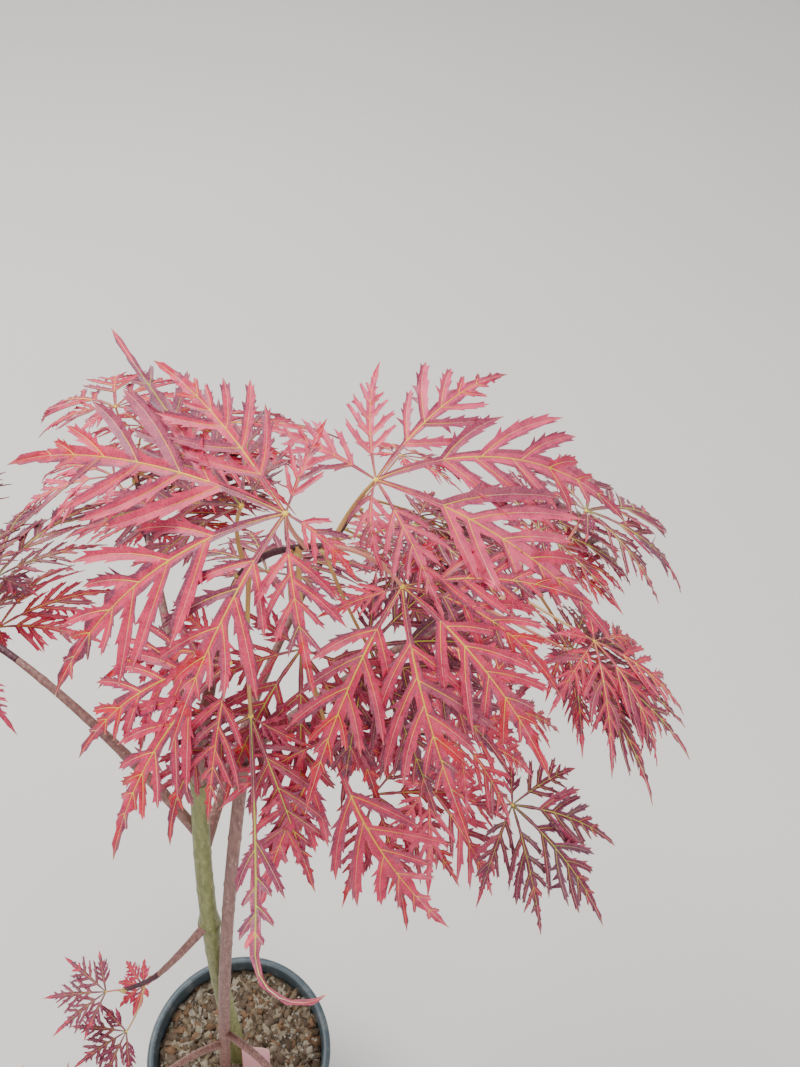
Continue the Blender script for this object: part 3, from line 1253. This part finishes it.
def tinted_finish(name, colour):
    """A living blade: thin and waxy, mottled a little, with a net of paler veinlets that lie
    a millimetre apart and sink into it."""
    made, tree, shader = material(f"blade_{name}", colour, 0.46, IOR=1.44)
    red, green, blue, _ = linear(colour)
    place = add(tree, "ShaderNodeTexCoord", {})
    cloud = add(tree, "ShaderNodeTexNoise", {"Vector": place.outputs["Object"], "Scale": 1 / (4 * MM),
                                             "Detail": 4, "Roughness": 0.6})
    spread = add(tree, "ShaderNodeMapRange", {"Value": cloud.outputs["Fac"], "From Min": 0.35,
                                              "From Max": 0.65})
    mottle = add(tree, "ShaderNodeMix", {"Factor": spread.outputs["Result"],
                                         "A": (0.7 * red, 0.62 * green, 0.8 * blue, 1),
                                         "B": (min(1.18 * red, 1), 1.25 * green, 1.15 * blue, 1)},
                 data_type="RGBA")
    net = add(tree, "ShaderNodeTexVoronoi", {"Vector": place.outputs["Object"], "Scale": 1 / (1.1 * MM)},
              feature="DISTANCE_TO_EDGE")
    veinlet = add(tree, "ShaderNodeMapRange", {"Value": net.outputs["Distance"], "From Min": 0.03,
                                               "From Max": 0.12, "To Min": 0.16, "To Max": 0})
    tone = add(tree, "ShaderNodeMix", {"Factor": veinlet.outputs["Result"], "A": mottle.outputs["Result"],
                                       "B": linear("#EE8F96")}, data_type="RGBA")
    tree.links.new(tone.outputs["Result"], shader.inputs["Base Color"])
    bump = add(tree, "ShaderNodeBump", {"Height": net.outputs["Distance"], "Strength": 0.4,
                                        "Distance": 0.12 * MM})
    tree.links.new(bump.outputs["Normal"], shader.inputs["Normal"])
    return made


blade_finishes = [tinted_finish(name, colour) for name, colour in BLADE_TINTS.items()]
vein_finishes = [material(f"vein_{name}", colour, 0.45)[0] for name, colour in VEIN_TINTS.items()]
HAND_SPRAYS = {"top": ["rosy", "coral", "rosy", "crimson", "rose", "dusky", "rosy", "crimson", "wine"],
               "graft_shoot": ["dusky", "wine"]}
UNDER_SPRAYS = ["crimson", "wine", "rosy", "dusky"]
LEAF_SPRAYS = ["rosy", "coral", "rose", "dusky", "crimson", "wine"]
# More leaves than the solids have, in the same space: how many, and how large in millimetres.
MORE_LEAVES = {"top": (8, 64), "graft_shoot": (2, 18), "under": (4, 46), "left": (5, 46),
               "back_left": (6, 50), "back": (6, 50), "back_right": (5, 48), "front_left": (5, 46),
               "front_right": (5, 46)}
# Under the top spray they keep behind, below and to the left of these places.
TOP_NEAREST = 4
TOP_HIGHEST = 514
TOP_RIGHTMOST = 30
TOP_DOWNWARD = 0.9
# How far a lesser leaf may reach beyond the box of its mass.
REACH_OVER = 2
THROWS_EACH = 12
LESSER_SPAN = (0.1, 1)
LESSER_CLEAR_OF_OTHERS = 3.5
LESSER_CLEAR_OF_OWN = 2.2


def more_leaves(name, stem, count, size, roll):
    """Lesser leaves that fill a mass, thrown from its twig by the rule above, but nearer."""
    made = []
    lowest, highest = (np.array(corner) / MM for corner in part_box(f"leaves_{name}"))
    for _ in range(count * THROWS_EACH):
        if len(made) == count:
            break
        t = roll(*LESSER_SPAN)
        start, along = stem.point(t), stem.tangent(t)
        across = unit(np.cross(UP, along))
        turn = roll(0, 2 * math.pi)
        out = across * math.cos(turn) + np.cross(along, across) * math.sin(turn)
        if name == "top":
            out = unit(out - UP * TOP_DOWNWARD)
        leaf = throw_leaf(start, along, out, size, roll)
        x, y, z = leaf["node"]
        if name == "top" and (y < TOP_NEAREST or z > TOP_HIGHEST or x > TOP_RIGHTMOST):
            continue
        samples = leaf_samples(leaf)
        if (samples < lowest - REACH_OVER).any() or (samples > highest + REACH_OVER).any():
            continue
        if is_free(name, samples, LESSER_CLEAR_OF_OTHERS, LESSER_CLEAR_OF_OWN):
            claim(name, samples, 0)
            made.append(leaf)
    return made


def spray_of(name, number, roll):
    """The spray whose tints a leaf has: chosen by hand for the sharp leaves, else by dice."""
    by_hand = HAND_SPRAYS.get(name, [])
    if number < len(by_hand):
        return by_hand[number]
    sprays = UNDER_SPRAYS if name == "top" else LEAF_SPRAYS
    return sprays[int(roll(0, len(sprays)))]


def evenly(points_faces, tint=0):
    """A closed shape with one tint for all its triangles."""
    points, faces = points_faces
    return points, faces, np.full(len(faces), tint)


FINISHES = {"stalks": [stalk_skin, shoot_skin], "buds": [bud_scale], "blades": blade_finishes,
            "veins": vein_finishes}
for number, (name, stem) in enumerate(stems.items()):
    roll = dice(101 + number)
    node = f"leaves_{name}"
    kept = len(leaves[name])
    leaves[name] += more_leaves(name, stem, *MORE_LEAVES[name], roll)
    relief = bark_relief(51 + number, stem.length(), girth=1.5, rings=3, lenticels=8, relief=0.08)

    def twig_radius(t, angles, height, relief=relief):
        return TWIG_RADIUS + (TWIG_TIP - TWIG_RADIUS) * t - TWIG_CORE_INSET + relief(t, angles)

    dressed(limb(stem, twig_radius, sides=12, steps=max(20, round(stem.length()))), f"{name}_twig",
            twig_bark, node)
    tip, way = stem.point(1), stem.tangent(1)
    end_bud = bulb(tip + way * BUD_AHEAD, way, length=3, girth=0.85)
    kinds = {"stalks": [], "buds": [evenly(end_bud)], "blades": [], "veins": []}
    for i, leaf in enumerate(leaves[name]):
        leaf["spray"] = spray_of(name, i, roll)
        size = max(lobe["length"] for lobe in leaf["lobes"]) / FULL_LENGTH
        curve = leaf["stalk"]
        way, along = curve.tangent(0), stem.tangent(0.5)
        kinds["stalks"].append(evenly(stalk(curve, within(size, THINNEST_STALK, 1)), int(roll(0, 2))))
        kinds["buds"].append(evenly(bulb(curve.point(BUD_ALONG) + unit(np.cross(way, along)) * BUD_ASIDE,
                                         unit(way + along), length=2.4, girth=0.7)))
        face = rib_of(leaf, leaf["lobes"][0])[2][0]
        kinds["veins"].append(evenly(bulb(leaf["node"] + face * KNOB_RISE, face, length=1.1,
                                          girth=0.85 * within(size, SMALLEST_KNOB, 1), sides=10), YELLOW))
        for lobe in leaf["lobes"]:
            detail = 2 if lobe["length"] > LARGE_LOBE and i < kept else int(lobe["length"] > MIDDLING_LOBE)
            *blade, ridges = grown_lobe(leaf, lobe, detail, roll)
            kinds["blades"].append(blade)
            kinds["veins"] += ridges
    for kind, parts in kinds.items():
        points, faces = joined([part[:2] for part in parts])
        tints = np.concatenate([part[2] for part in parts])
        piece = mesh_piece(f"{name}_{kind}", points, faces, FINISHES[kind], tints, smooth_degrees=40)
        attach(piece, "root")
        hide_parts(node)
